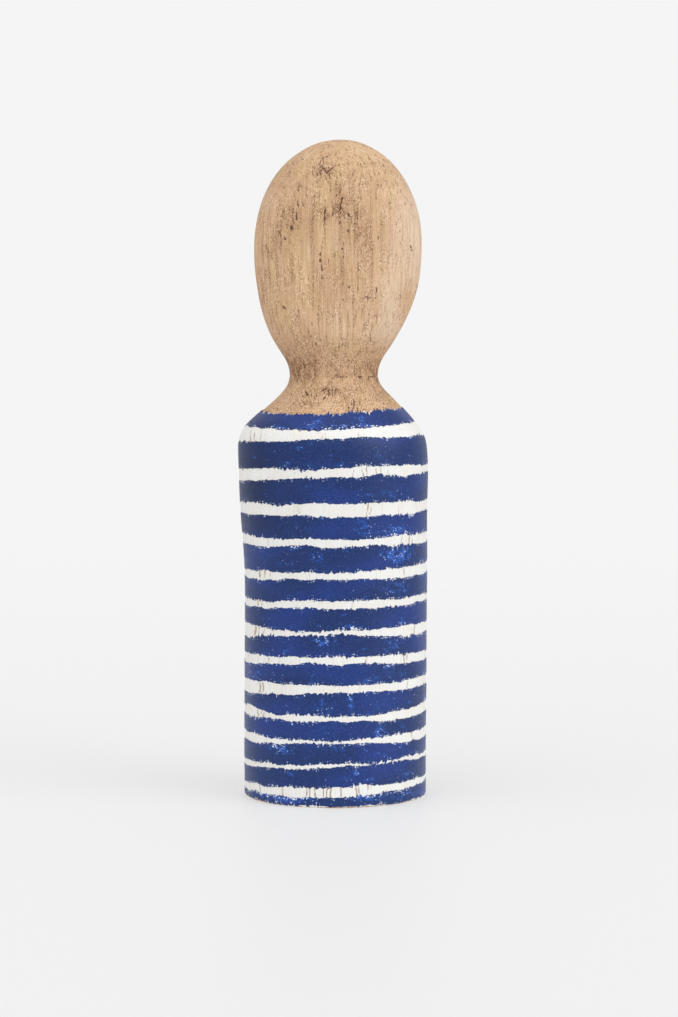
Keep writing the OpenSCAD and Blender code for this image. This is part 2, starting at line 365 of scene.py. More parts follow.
def areas(surface, rows):
    """Strength at each point of soft areas on the front, from a table of them."""
    x, y, z = np.moveaxis(surface / MM, 2, 0)
    total = np.zeros(surface.shape[:2])
    for middle, height, across, along, strength in rows:
        away = ((x - middle) / across) ** 2 + ((z - height) / along) ** 2
        total += strength * np.exp(-away) * front(y)
    return total


def carved(points, normals):
    """The skin as a knife left it: uneven, with features longer up the figure than round it."""
    broad = BROAD * noise(points, BROAD_SIZE, 1)
    cuts = CUTS * noise(points, CUTS_SIZE, 2)
    set_back = SET_BACK * ramp(points[..., 2], JOINT, JOINT - SET_BACK_RUN)
    return points + normals * (broad + cuts - set_back)[..., None]


def foot_inset(at, points):
    """How far the worn edge round the foot is in from the wall."""
    radius = FOOT_WEAR + MORE_WEAR * clamp(0.6 + noise(points, 15 * MM, 3))
    up = clamp(at, 0, radius)
    return radius - np.sqrt(np.maximum(radius ** 2 - (radius - up) ** 2, 0))


def crease_inset(at, points):
    """The crease at the glued joint, deeper in some places than in others."""
    depth = CREASE * (0.45 + 0.75 * clamp(0.4 + noise(points, 5 * MM, 4)))
    return depth * np.exp(-((at - JOINT_AT) / CREASE_WIDTH) ** 2)


def wood_surface(at):
    """Points and normals of the carved wood at rows of distances along the outline."""
    points, normals = skin.rows(at)
    at = np.broadcast_to(np.reshape(at, (len(at), -1)), points.shape[:2])
    surface = carved(points, normals)
    inset = foot_inset(at, points) + crease_inset(at, points)
    return surface - normals * inset[..., None], normals


def pits(rng, low, high):
    """Strokes for small pits between two distances along the outline, and the y of each."""
    strokes, places = [], []
    rows, columns = rng.uniform(low, high, PITS), rng.integers(0, COLUMNS, PITS)
    for at, column in zip(rows, columns):
        place = skin.points[int(at / skin.total * (len(skin.at) - 1)), column]
        length, radius = rng.uniform(*PIT_LENGTH), rng.uniform(*PIT_RADIUS)
        dark = rng.uniform(*PIT_DARKNESS)
        if noise(place, np.array([6, 6, 24]) * MM, 5) > OPEN_GRAIN:
            x, y, z = place / MM
            strokes.append([x, z + length / 2, x, z - length / 2, radius, dark])
            places.append(y)
    return strokes, places


def cut_marks(surface, normals, strokes, sides):
    """Sinks dark strokes into the wood, and returns how deep in a stroke each point is, 0 to 1.
    sides holds the y of each stroke, and a stroke marks only its own side of the figure."""
    depth = np.zeros(surface.shape[:2])
    heights = surface[..., 2].mean(1) / MM
    for (x1, z1, x2, z2, radius, dark), y in zip(strokes, sides):
        low, high = min(z1, z2) - MARK_REACH * radius, max(z1, z2) + MARK_REACH * radius
        rows = np.flatnonzero((heights > low) & (heights < high))
        if not len(rows):
            continue
        x, side, z = np.moveaxis(surface[rows] / MM, 2, 0)
        run, rise = x2 - x1, z2 - z1
        t = clamp(((x - x1) * run + (z - z1) * rise) / (run ** 2 + rise ** 2))
        torn = 1 + 0.5 * noise(surface[rows], np.array([0.5, 0.5, 0.8]) * MM, 9)
        away = ((x - x1 - t * run) ** 2 + (z - z1 - t * rise) ** 2) / (radius * torn) ** 2
        depth[rows] = np.maximum(depth[rows], dark * np.exp(-away) * (side * y > 0))
    return surface - normals * (depth * MARK_DEPTH)[..., None], depth


def stains_dirt_and_light(surface):
    """How dark the wood is painted at each point: dark patches, and dirt and painted shade round
    the
    neck. Below 0, how much paler it is: bleached spots and painted highlights.
    """
    x, y, z = np.moveaxis(surface / MM, 2, 0)
    side = np.abs(x) / np.maximum(np.hypot(x, y), 1)
    above = z - JOINT / MM - NECK_DARK_UP
    # painted shade: dirt and shade under the chin, painted darkest at the neck's sides
    neck = NECK_DIRT_AND_SHADE * (1 + side ** 4) * np.exp(-(above / NECK_DARK_REACH) ** 2)
    return areas(surface, STAINS_AND_PAINTED_LIGHT) + neck


def seam_dirt(at, surface):
    """Dark dirt in the joint's crease: broken, and darkest right of the front."""
    x, y = surface[..., 0] / MM, surface[..., 1] / MM
    patches = 0.6 * ramp(noise(surface, 9 * MM, 6), 0.2, 0.7)
    darkest = np.exp(-((x - SEAM_DARK_X) / SEAM_DARK_REACH) ** 2) * front(y + SEAM_FADE)
    broken = ramp(noise(surface, 1.6 * MM, 7), -0.35, 0.5)
    return (patches + darkest) * broken * np.exp(-((at - JOINT_AT) / SEAM_WIDTH) ** 2)


def worn_wood(at, seed):
    """Rows of carved wood with all its marks, and the dirt in them as attributes."""
    surface, normals = wood_surface(at)
    rows = np.broadcast_to(at[:, None], surface.shape[:2])
    strokes, sides = pits(np.random.default_rng(seed), at[0], at[-1])
    strokes, sides = MARKS + strokes, [-1] * len(MARKS) + sides
    surface, depth = cut_marks(surface, normals, strokes, sides)
    return surface, {"pit": np.maximum(depth, seam_dirt(rows, surface)), "stain_and_painted_light": stains_dirt_and_light(surface)}


def padded(values, before, after):
    """Attribute values with rows of zeros added before and after."""
    return np.pad(values, ((before, after), (0, 0)))


# ---- meshes

SHARP = 50               # degrees from which a crease is sharp
SOCKET_ZONE = 0.6        # a socket's points are within this share of the dowel's width and length
ROW = 0.5 * MM           # spacing of rows of points near the joint
HEAD_ROW = 0.6 * MM      # up the rest of the head
FOOT_ROW = 0.3 * MM      # round the worn foot edge
COVERED_ROW = 3 * MM     # and under the paint
CROWN_GAP = 1 * MM       # the last ring is this short of the crown


def mesh_piece(name, points, faces, attributes):
    """A mesh from points and lists of faces of 3 or 4 corners, with a value at each point."""
    mesh = bpy.data.meshes.new(name)
    mesh.vertices.add(len(points))
    mesh.vertices.foreach_set("co", points.ravel())
    corners = np.concatenate([f.ravel() for f in faces])
    sizes = np.concatenate([np.full(len(f), f.shape[1]) for f in faces])
    mesh.loops.add(len(corners))
    mesh.loops.foreach_set("vertex_index", corners)
    mesh.polygons.add(len(sizes))
    mesh.polygons.foreach_set("loop_start", np.concatenate([[0], np.cumsum(sizes)[:-1]]))
    for attribute, values in attributes.items():
        layer = mesh.attributes.new(attribute, "FLOAT", "POINT")
        layer.data.foreach_set("value", values.astype(np.float32).ravel())
    mesh.update(calc_edges=True)
    mesh.validate()
    mesh.polygons.foreach_set("use_smooth", np.ones(len(sizes), bool))
    piece = bpy.data.objects.new(name, mesh)
    bpy.context.scene.collection.objects.link(piece)
    return piece


def loft(name, rings, tips=None, attributes=None):
    """A closed solid over rings of points. tips are the points that close its two ends, and with
    no tips the last ring joins the first."""
    count, columns = rings.shape[:2]
    attributes = attributes or {}
    i, j = np.indices((count if tips is None else count - 1, columns))
    here, there = i * columns, (i + 1) % count * columns
    after = (j + 1) % columns
    walls = np.stack([here + j, here + after, there + after, there + j], axis=2).reshape(-1, 4)
    points, faces = rings.reshape(-1, 3), [walls]
    values = {key: value.reshape(-1) for key, value in attributes.items()}
    if tips is not None:
        first, last = count * columns, (count - 1) * columns
        j = np.arange(columns)
        after = (j + 1) % columns
        faces.append(np.stack([after, j, np.full(columns, first)], axis=1))
        faces.append(np.stack([last + j, last + after, np.full(columns, first + 1)], axis=1))
        points = np.concatenate([points, tips])
        values = {key: np.concatenate([v, [v[0], v[-1]]]) for key, v in values.items()}
    return mesh_piece(name, points, faces, values)


def sharpen(piece):
    """Keeps sharp creases from being shaded round."""
    piece.data.set_sharp_from_angle(angle=math.radians(SHARP))


def steps(*stretches):
    """Distances along the outline: each stretch is (from, to, spacing)."""
    return np.concatenate([
        np.linspace(low, high, max(2, int(round((high - low) / spacing))), endpoint=False)
        for low, high, spacing in stretches
    ] + [[stretches[-1][1]]])


def circle(centre, radius, height):
    """A level ring with a point in every column."""
    turn = np.arange(COLUMNS) * math.tau / COLUMNS
    x, y = centre[0] + radius * np.sin(turn), centre[1] - radius * np.cos(turn)
    return np.stack([x, y, np.full(COLUMNS, height)], axis=1)


def socket(name):
    """The CAD socket for the dowel in a node: its axis, radius, and the height of its floor."""
    axis = ((DOWEL_LOW + DOWEL_HIGH) / 2)[:2]
    points = vertices(name)
    away = np.linalg.norm(points[:, :2] - axis, axis=1)
    inside = points[away < (DOWEL_HIGH.x - DOWEL_LOW.x) * SOCKET_ZONE]
    inside = inside[abs(inside[:, 2] - JOINT) < (DOWEL_HIGH.z - DOWEL_LOW.z) * SOCKET_ZONE]
    radius = np.linalg.norm(inside[:, :2] - axis, axis=1).max()
    floor = inside[np.argmax(abs(inside[:, 2] - JOINT)), 2]
    return axis, radius, floor


def socket_rings(name, face):
    """Rings from the middle of a socket's floor to its mouth, and out over the flat joint face."""
    axis, radius, floor = socket(name)
    rise = JOINT - floor
    rings = [circle(axis, radius * share, floor) for share in (0.3, 0.65, 1)]
    rings += [circle(axis, radius, floor + rise * share) for share in (0.25, 0.5, 0.75, 1)]
    rings += [rings[-1] + (face - rings[-1]) * share for share in (0.35, 0.7)]
    return np.array(rings), np.array([axis[0], axis[1], floor])


def carve_head():
    """The head, from the floor of its socket over the joint face and up to the crown."""
    chin = JOINT_AT + 20 * MM
    at = steps((JOINT_AT, chin, ROW), (chin, skin.total - CROWN_GAP, HEAD_ROW))
    surface, values = worn_wood(at, 3)
    surface[0, :, 2] = JOINT
    inner, floor = socket_rings("head", surface[0])
    crown = wood_surface(np.array([skin.total]))[0][0].mean(0)
    values = {key: padded(value, len(inner), 0) for key, value in values.items()}
    return loft("carved_head", np.concatenate([inner, surface]), (floor, crown), values)


def carve_body():
    """The body, from the middle of the sole up to the joint face and down into its socket."""
    foot, neckline = 3 * MM, min(cad_edges(BANDS[0])[1]) - 4 * MM
    at = steps((0, foot, FOOT_ROW), (foot, neckline, COVERED_ROW), (neckline, JOINT_AT, ROW))
    surface, values = worn_wood(at, 8)
    surface[-1, :, 2] = JOINT
    surface[0, :, 2] = FOOT
    middle = surface[0].mean(0)
    spokes = surface[0] - middle
    sole = np.array([middle + spokes * share for share in (0.2, 0.4, 0.6, 0.8, 0.95)])
    inner, floor = socket_rings("body", surface[-1])
    values = {key: padded(value, len(sole), len(inner)) for key, value in values.items()}
    rings = np.concatenate([sole, surface, inner[::-1]])
    return loft("carved_body", rings, (middle, floor), values)


# ---- paint

COAT_DROP = 0.7 * MM     # how much lower the white coat's foot edge is painted than in the CAD
BAND_DROP = 0.75 * MM    # and the last band's
COAT_ROW = 1.2 * MM      # spacing of rows of points in the middle of the coat
BAND_ROW = 1.3 * MM      # and of a band
EDGE_ROWS = 1 * MM       # closer rows follow within this distance of an edge
RAG_REACH = 1.6 * MM     # how far in from an edge its raggedness is still felt
ROW_GAP = 0.004 * MM     # least distance between rows
FULL_AT = 0.45 * MM      # distance in from an edge at which a coat has its full thickness
EDGE_T = 0.25            # thickness at the very edge, as a share of the full one
EDGE_FADE = 3 * MM       # distance in from an edge over which the "edge" value goes from 0 to 1
STREAK, STREAK_SIZE = 0.02 * MM, np.array([16, 16, 0.8]) * MM  # ridges that the bristles left

CHECK_WIDTH = 0.32       # half width of a check, mm
CHECK_END = 0.5          # length over which it ends, mm
CHECK_WANDER = 0.45      # how far it strays from straight, mm


def brushed(at, seed, wander, rag):
    """A paint edge with the brush's slow wander, and how far each column of it is ragged, most of
    all where the paint ran along the grain."""
    place = skin.rows(at[None])[0][0]
    slow = noise(place, 15 * MM, seed) + 0.5 * noise(place, 6.5 * MM, seed + 1)
    rough = 0.5 * noise(place, 0.55 * MM, seed + 3) + 0.3 * noise(place, 1.3 * MM, seed + 4)
    zone = ramp(noise(place, 10 * MM, seed + 2), -0.15, 0.7)
    runs = clamp(noise(place, 0.6 * MM, seed + 5) - 0.1)
    misses = clamp(noise(place, 0.75 * MM, seed + 6) - 0.2)
    return at + wander * slow, rag * (rough + 1.5 * zone * (runs - misses))


# Checks in the wood that show through the white coat, on the front: [x, from z, to z, darkness],
# in groups from the shoulders down. Millimetres, except the last.
CHECKS = [
    [-38, 168, 161, 0.6], [-36.2, 167, 163, 0.7], [-33.5, 168, 162, 0.4], [-4.5, 168, 163, 0.5],
    [-6, 167, 164, 0.4], [10.6, 167.5, 163.5, 0.8], [12, 166.5, 164, 0.5], [8, 152, 147, 0.4],
    [12.5, 152, 146, 0.6], [14.2, 153, 147, 0.7], [18, 152, 148.5, 0.5], [20.5, 152, 147.5, 0.5],
    [24, 151.5, 148, 0.4], [14.5, 136.5, 131, 0.7], [16, 135, 131.5, 0.5], [-16, 136, 132, 0.4],
    [-30, 120, 117, 0.4], [33, 121, 116, 0.7], [35, 120, 117, 0.6], [30, 121, 118, 0.4],
    [-34, 106, 102.5, 0.8], [-31.5, 105.5, 103, 0.7], [-29, 106, 103.5, 0.5], [31, 108, 104, 0.5],
    [-35, 93, 89, 0.6], [-33, 92, 89, 0.5], [8, 93, 90, 0.3], [-36, 80, 76, 0.8],
    [-34.5, 80, 76, 0.7], [-32, 79.5, 76.5, 0.5], [36, 80, 76, 0.5], [31, 68, 64.5, 0.8],
    [32.5, 68, 65, 0.6], [14, 67, 65, 0.7], [-30, 68, 65, 0.5], [-34, 54, 50.5, 0.9],
    [-32.6, 54.5, 51, 0.8], [33, 55, 51.5, 0.5], [-35, 42, 38.5, 0.8], [-33, 41, 38, 0.8],
    [-31.8, 41.5, 38.5, 0.6], [-1.5, 31, 28.5, 0.6], [35, 31.5, 28.5, 0.6], [-33.5, 20, 18, 0.5],
    [-34, 9.5, 5, 0.6], [-24, 9.5, 4.5, 0.8], [-12.6, 12.5, 6, 0.8], [-11.4, 12, 5, 0.6],
    [-9, 12, 5, 0.9], [-5.4, 12, 4, 1], [-3.4, 11, 3.5, 1], [-1.6, 11.5, 3.5, 0.9],
    [2.6, 11, 4, 0.7], [9.4, 12, 5.5, 0.9], [10.6, 11.5, 6, 0.7], [14.6, 12, 8, 0.8],
    [16, 11.5, 8.5, 0.5],
]


# Soft areas on the front where the blue is painted brighter (or, below 0, darker), from the
# shoulders down: [x, z, half width, half height, strength]. Millimetres, except the last. The
# brighter ones are thin blue, and those at x 20 and 25 on the upper bands are a painted highlight.
# The one below 0 is painted shade down the left side of the upper body.
THIN_BLUE_AND_PAINTED_LIGHT = [
    [-10, 171, 6, 2, 0.5], [8, 171, 11, 2, 0.7], [-13, 154, 7, 2, 0.4], [3, 154, 5, 1.5, 0.5],
    [20, 158, 6, 7, 0.3], [25, 140, 9, 4, 0.45], [13, 126, 5, 5, 0.6], [27, 124, 7, 2.5, 0.9],
    [-12, 126, 5, 4, 0.3], [-8, 113, 5, 3, 0.6], [28, 113, 7, 3.5, 1.3], [-23, 110, 6, 3, 0.5],
    [-33, 115, 4, 3, 0.5], [28, 98, 7, 4, 0.6], [8, 81, 6, 2, 0.8], [-5, 75, 5, 2, 1.2],
    [26, 73, 7, 4, 0.5], [24, 63, 5, 5, 0.5], [-10, 58, 5, 5, 0.35], [7, 48, 1.2, 4, 1.2],
    [-6, 46, 5, 5, 0.5], [22, 46, 8, 4, 0.35], [20, 34, 3, 4, 0.7], [-3, 34, 4, 5, 0.4],
    [-25, 26, 6, 3, 0.8], [2, 27, 6, 2, 0.5], [30, 27, 5, 3, 0.4], [33, 13, 4, 2, 0.6],
    [9.5, 16, 1.5, 1.5, 1.2], [-24, 5, 16, 3, 1.0], [14, 5, 8, 3, 0.7], [32, 4, 8, 3, 0.6],
    [-40, 145, 16, 32, -0.6],
]


def checks(surface):
    """How dark the cracks along the grain are at each point of the white coat, 0 to 1."""
    x, y, z = np.moveaxis(surface / MM, 2, 0)
    x = x + CHECK_WANDER * noise(surface, np.array([3, 3, 2.2]) * MM, 12)
    depth = np.zeros(surface.shape[:2])
    for middle, high, low, dark in CHECKS:
        over = np.maximum(np.maximum(z - high, low - z), 0) / CHECK_END
        away = ((x - middle) / CHECK_WIDTH) ** 2 + over ** 2
        depth = np.maximum(depth, dark * np.exp(-away) * (y < 0))
    return depth


def spread(height, spacing):
    """Shares of a coat's height at which it has rows: close together at its two edges."""
    ends = np.array([0, 0.15, 0.45]) * MM / height
    start = EDGE_ROWS / height
    middle = np.linspace(start, 1 - start, max(3, int(height / spacing)))
    return np.concatenate([ends, middle, 1 - ends[::-1]])


def film(name, low, high, base, thick, seed, wander, rag, spacing):
    """A closed coat of paint from one brushed edge to the other. base is how far what it covers
    stands above the wood. wander and rag hold a value for the lower edge and one for the upper."""
    low, low_rag = brushed(low, seed, wander[0], rag[0])
    high, high_rag = brushed(high, seed + 10, wander[1], rag[1])
    shares = spread((high - low).mean(), spacing)[:, None]
    at = low + (high - low) * shares
    at = at + np.exp(-((at - low) / RAG_REACH) ** 2) * low_rag * (shares < 0.5)
    at = at + np.exp(-((high - at) / RAG_REACH) ** 2) * high_rag * (shares >= 0.5)
    rank = np.arange(len(at))[:, None] * ROW_GAP
    at = np.maximum.accumulate(at - rank, axis=0) + rank  # each row stays above the last
    inside = np.minimum(at - at[0], at[-1] - at)
    full = clamp(inside / FULL_AT) ** 0.5
    surface, normals = wood_surface(at)
    ridges = STREAK * noise(skin.rows(at)[0], STREAK_SIZE, 41) * full
    lift = base + FILM_GAP
    top = surface + normals * (lift + thick * (EDGE_T + (1 - EDGE_T) * full) + ridges)[..., None]
    few = np.linspace(0, len(at) - 1, max(4, len(at) // 3)).round().astype(int)
    few = np.unique(few)[::-1]  # the underside has fewer rows, and goes back down
    rings = np.concatenate([top, surface[few] + normals[few] * lift])
    edge = clamp(np.concatenate([inside, inside[few]]) / EDGE_FADE)
    # the blue's thin areas also carry its painted highlight and painted shade
    values = {"edge": edge, "pit": checks(rings), "thin_and_painted_light": areas(rings, THIN_BLUE_AND_PAINTED_LIGHT)}
    return loft(name, rings, attributes=values)


def brush_coat():
    """The white coat, from the worn foot to the neckline."""
    low, high = cad_edges("white_ground_coat")
    return film(
        "ground_coat", low - COAT_DROP, high, 0, COAT_T, seed=50,
        wander=(0.2 * MM, 0.3 * MM), rag=(0.5 * MM, 0.8 * MM), spacing=COAT_ROW)


def brush_band(number, node):
    """A blue band. The first is more ragged at the neckline, and the last ends on the foot."""
    low, high = cad_edges(node)
    foot_band, neck_band = node == BANDS[-1], node == BANDS[0]
    low = low - (BAND_DROP if foot_band else 0)
    return film(
        node.replace("blue_band", "brushed_band"), low, high, COAT_T + FILM_GAP, BAND_T,
        seed=100 + 40 * number,
        wander=((0.35 if foot_band else 0.5) * MM, 0.5 * MM),
        rag=(0.6 * MM, (1.0 if neck_band else 0.6) * MM), spacing=BAND_ROW)


# ---- materials

class Finish:
    """A node material built with short calls. Sizes in it are in millimetres."""

    def __init__(self, name):
        self.material = bpy.data.materials.new(name)
        self.material.use_nodes = True
        self.nodes = self.material.node_tree.nodes
        self.links = self.material.node_tree.links
        self.shader = self.nodes["Principled BSDF"]
        coordinates = self.nodes.new("ShaderNodeTexCoord").outputs["Object"]
        self.place = self.vector("MULTIPLY", coordinates, (1 / MM, 1 / MM, 1 / MM))

    def node(self, kind, inputs, output=0, **settings):
        """Adds a node and returns one of its outputs. An input is a link or a plain value."""
        made = self.nodes.new(kind)
        for key, value in settings.items():
            setattr(made, key, value)
        for key, value in inputs.items():
            if isinstance(value, bpy.types.NodeSocket):
                self.links.new(value, made.inputs[key])
            else:
                made.inputs[key].default_value = value
        return made.outputs[output]

    def vector(self, operation, a, b):
        return self.node("ShaderNodeVectorMath", {0: a, 1: b}, operation=operation)

    def math(self, operation, a, b=0.0):
        return self.node("ShaderNodeMath", {0: a, 1: b}, operation=operation)

    def times(self, a, b):
        return self.math("MULTIPLY", a, b)

    def plus(self, a, b):
        return self.math("ADD", a, b)

    def minus(self, a, b):
        return self.math("SUBTRACT", a, b)

    def most(self, first, *others):
        for other in others:
            first = self.math("MAXIMUM", first, other)
        return first

    def value(self, name):
        """A value that the mesh has at each of its points."""
        return self.node("ShaderNodeAttribute", {}, 2, attribute_name=name)

    def noise(self, size, seed, detail=2.0):
        """Noise from 0 to 1 with features of a size along x, y and z."""
        scaled = self.vector("DIVIDE", self.place, size)
        inputs = {"Vector": scaled, "W": seed, "Scale": 1.0, "Detail": detail}
        return self.node("ShaderNodeTexNoise", inputs, noise_dimensions="4D")

    def dots(self, size, seed):
        """Distance from the nearest of many scattered points, in shares of size."""
        scaled = self.vector("DIVIDE", self.place, size)
        inputs = {"Vector": scaled, "W": seed, "Scale": 1.0}
        return self.node("ShaderNodeTexVoronoi", inputs, voronoi_dimensions="4D")

    def ramp(self, value, low, high, out=(0.0, 1.0)):
        """Goes smoothly from out[0] to out[1] as the value goes from low to high."""
        inputs = {0: value, 1: low, 2: high, 3: out[0], 4: out[1]}
        return self.node("ShaderNodeMapRange", inputs, interpolation_type="SMOOTHSTEP")

    def mix(self, share, a, b):
        colours = [c if isinstance(c, bpy.types.NodeSocket) else (*c, 1) for c in (a, b)]
        inputs = {0: share, 6: colours[0], 7: colours[1]}
        return self.node("ShaderNodeMix", inputs, 2, data_type="RGBA")

    def set(self, **values):
        """Sets what is the same all over the surface."""
        for key, value in values.items():
            self.shader.inputs[key.replace("_", " ")].default_value = value

    def finish(self, colour, roughness, height, depth, specular):
        """Connects the surface. height is the bump's, in units of depth mm."""
        inputs = {"Height": height, "Strength": 1.0, "Distance": depth * MM}
        bump = self.node("ShaderNodeBump", inputs)
        self.links.new(bump, self.shader.inputs["Normal"])
        self.links.new(colour, self.shader.inputs["Base Color"])
        self.links.new(roughness, self.shader.inputs["Roughness"])
        self.set(Specular_IOR_Level=specular)
        return self.material


# Colours of the wood, the white and the blue.
WOOD, PALE_WOOD, YELLOW_WOOD = (0.60, 0.365, 0.205), (0.74, 0.480, 0.290), (0.70, 0.475, 0.245)
GROWTH_RING, GRAIN_LINE = (0.44, 0.240, 0.120), (0.32, 0.160, 0.075)
DARK_FIBRE, PALE_FIBRE = (0.34, 0.190, 0.100), (0.80, 0.600, 0.420)
DARK_CRUMB, PALE_CRUMB = (0.28, 0.140, 0.068), (0.95, 0.740, 0.540)
# Paler wood for bleached spots and painted highlights, darker wood for dirt and painted shade.
BLEACHED_AND_HIGHLIGHT, DIRT_AND_SHADE = (0.88, 0.710, 0.550), (0.30, 0.125, 0.048)
PORE, CUT = (0.155, 0.072, 0.034), (0.088, 0.038, 0.020)
DOWEL, DOWEL_RING, DOWEL_FLECK = (0.66, 0.48, 0.30), (0.50, 0.33, 0.18), (0.33, 0.18, 0.09)
WHITE, WARM_WHITE, PINK_WHITE = (0.830, 0.828, 0.810), (0.825, 0.800, 0.755), (0.800, 0.740, 0.700)
GREY_FIBRE, CRACK, PINHOLE = (0.58, 0.56, 0.51), (0.28, 0.170, 0.085), (0.36, 0.27, 0.19)
DEEP_BLUE, BLUE = (0.0050, 0.0250, 0.125), (0.0085, 0.0340, 0.195)
STREAK_BLUE = (0.016, 0.050, 0.210)
# SHADED_BLUE is painted shade down the left side; BRIGHT_BLUE is thin blue and a painted
# highlight.
SHADED_BLUE, BRIGHT_BLUE = (0.0030, 0.0165, 0.082), (0.018, 0.115, 0.520)
DARK_BLUE_CRUMB, PALE_BLUE_CRUMB = (0.003, 0.015, 0.085), (0.035, 0.090, 0.330)
HALO_BLUE, BARE_WHITE = (0.035, 0.150, 0.560), (0.78, 0.81, 0.83)


def wood_grain(f, pith, ring):
    """Growth rings round a pith, and the fibres, as two values of 0 to 1."""
    bent = f.noise((45, 45, 130), 1.5, 1.0)
    bent = f.node("ShaderNodeCombineXYZ", {0: bent, 1: bent, 2: 0.0})
    offset = f.vector("MULTIPLY", bent, (16, 10, 0))
    place = f.vector("ADD", f.vector("ADD", f.place, (-pith[0], -pith[1], 0)), offset)
    flat = f.vector("MULTIPLY", place, (1, 1, 0.03))
    away = f.node("ShaderNodeVectorMath", {0: flat}, 1, operation="LENGTH")
    uneven = f.times(f.noise((9, 9, 60), 3.0), ring * 1.4)
    turns = f.math("DIVIDE", f.plus(away, uneven), ring)
    rings = f.ramp(f.math("FRACT", turns), 0.25, 1.0)
    fibres = f.noise((0.55, 0.55, 14), 5.0, 3.0)
    return rings, fibres


def clean_wood(f, rings):
    """Colour of the bare wood before its wear: patches of three tones, and growth rings."""
    tone = f.ramp(f.noise((16, 16, 44), 9.0), 0.3, 0.7)
    yellow = f.ramp(f.noise((9, 9, 24), 43.0, 1.0), 0.45, 0.65, (0.0, 0.55))
    colour = f.mix(yellow, f.mix(tone, WOOD, PALE_WOOD), YELLOW_WOOD)
    return f.mix(f.times(rings, 0.22), colour, GROWTH_RING)


def crumbled(f, colour, coarse):
    """A colour mottled with dark and pale crumbs of torn fibre, as far as the wood is coarse."""
    crumbs = f.noise((0.45, 0.45, 1.0), 13.0, 1.0)
    dark = f.times(f.ramp(crumbs, 0.52, 0.70, (0.0, 0.6)), coarse)
    pale = f.times(f.ramp(crumbs, 0.48, 0.30, (0.0, 0.6)), coarse)
    return f.mix(pale, f.mix(dark, colour, DARK_CRUMB), PALE_CRUMB)


def pores(f, lines, darkened, shoulder, coarse):
    """Dark pores, as two values of 0 to 1: specks where the grain is open, and fine ones."""
    grain = f.plus(f.noise((0.5, 0.5, 0.9), 2.0, 1.0), f.times(darkened, 0.10))
    patches = f.ramp(f.noise((5, 5, 20), 11.0), 0.44, 0.84)
    open_grain = f.most(f.times(lines, 1.5), darkened, shoulder, patches)
    specks = f.times(f.ramp(grain, 0.58, 0.68), open_grain)
    fine = f.times(f.ramp(f.dots((1.0, 1.0, 2.0), 4.0), 0.14, 0.26, (1.0, 0.0)), coarse)
    return specks, fine


def bare_wood():
    """Dry unvarnished carved wood, paler in places with bleached spots and painted highlights,
    with dirt in its marks and pores, dirt and painted shade round the neck, and more open grain on
    the shoulders."""
    f = Finish("bare_wood")
    rings, fibres = wood_grain(f, (-34, 92), 4.2)
    stain_and_painted_light, pit = f.value("stain_and_painted_light"), f.value("pit")
    bleached_and_lit = f.ramp(stain_and_painted_light, 0.0, -0.8)
    uneven = f.ramp(f.noise((2.2, 2.2, 5), 7.0, 4.0), 0.3, 0.7, (0.4, 1.6))
    dirt_and_shade = f.times(f.most(stain_and_painted_light, 0.0), uneven)
    darkened = f.ramp(dirt_and_shade, 0.05, 0.55)
    lines = f.ramp(f.noise((1.5, 1.5, 45), 17.0, 1.0), 0.50, 0.66)
    lines = f.times(lines, f.minus(1.0, f.times(bleached_and_lit, 0.8)))
    height = f.node("ShaderNodeSeparateXYZ", {0: f.place}, 2)
    shoulder = f.ramp(height, JOINT / MM - 1, JOINT / MM - 6)
    coarse = f.most(f.ramp(f.noise((6, 6, 15), 41.0), 0.44, 0.58, (0.3, 1.0)), darkened)
    coarse = f.minus(coarse, f.times(bleached_and_lit, 0.4))
    coarse = f.plus(coarse, f.times(shoulder, 0.5))
    specks, fine = pores(f, lines, darkened, shoulder, coarse)
    torn = f.ramp(f.noise((0.4, 0.4, 0.6), 19.0, 1.0), 0.25, 0.75, (-0.45, 0.45))
    cut = f.times(f.ramp(f.plus(pit, torn), 0.30, 0.62), f.ramp(pit, 0.04, 0.25))

    # paler: bleached spots, and painted highlights on the right of the head, the crown and
    # shoulders
    colour = f.mix(bleached_and_lit, clean_wood(f, rings), BLEACHED_AND_HIGHLIGHT)
    # darker: dark patches, and dirt and painted shade round the neck
    colour = f.mix(f.ramp(dirt_and_shade, 0.0, 1.0), colour, DIRT_AND_SHADE)
    colour = f.mix(f.ramp(fibres, 0.35, 0.72, (0.0, 0.35)), colour, DARK_FIBRE)
    colour = f.mix(f.ramp(fibres, 0.30, 0.5, (0.3, 0.0)), colour, PALE_FIBRE)
    colour = f.mix(f.times(lines, 0.32), colour, GRAIN_LINE)
    colour = crumbled(f, colour, coarse)
    colour = f.mix(f.times(specks, 0.72), colour, PORE)
    colour = f.mix(f.times(fine, 0.6), colour, PORE)
    colour = f.mix(f.times(cut, 0.9), colour, CUT)
    rough = f.ramp(fibres, 0.3, 0.7, (0.62, 0.78))
    relief = f.minus(f.times(fibres, 0.6), f.times(specks, 0.9))
    relief = f.minus(relief, f.times(fine, 0.8))
    return f.finish(colour, rough, relief, 0.12, specular=0.4)


def dowel_wood():
    """Plain pale hardwood."""
    f = Finish("dowel_wood")
    rings, fibres = wood_grain(f, (20, 30), 1.8)
    colour = f.mix(f.times(rings, 0.4), DOWEL, DOWEL_RING)
    flecks = f.ramp(f.dots((1.1, 1.1, 4.5), 2.0), 0.12, 0.22, (1.0, 0.0))
    colour = f.mix(f.times(flecks, 0.5), colour, DOWEL_FLECK)
    rough = f.ramp(fibres, 0.3, 0.7, (0.5, 0.66))
    return f.finish(colour, rough, f.minus(fibres, flecks), 0.06, specular=0.35)


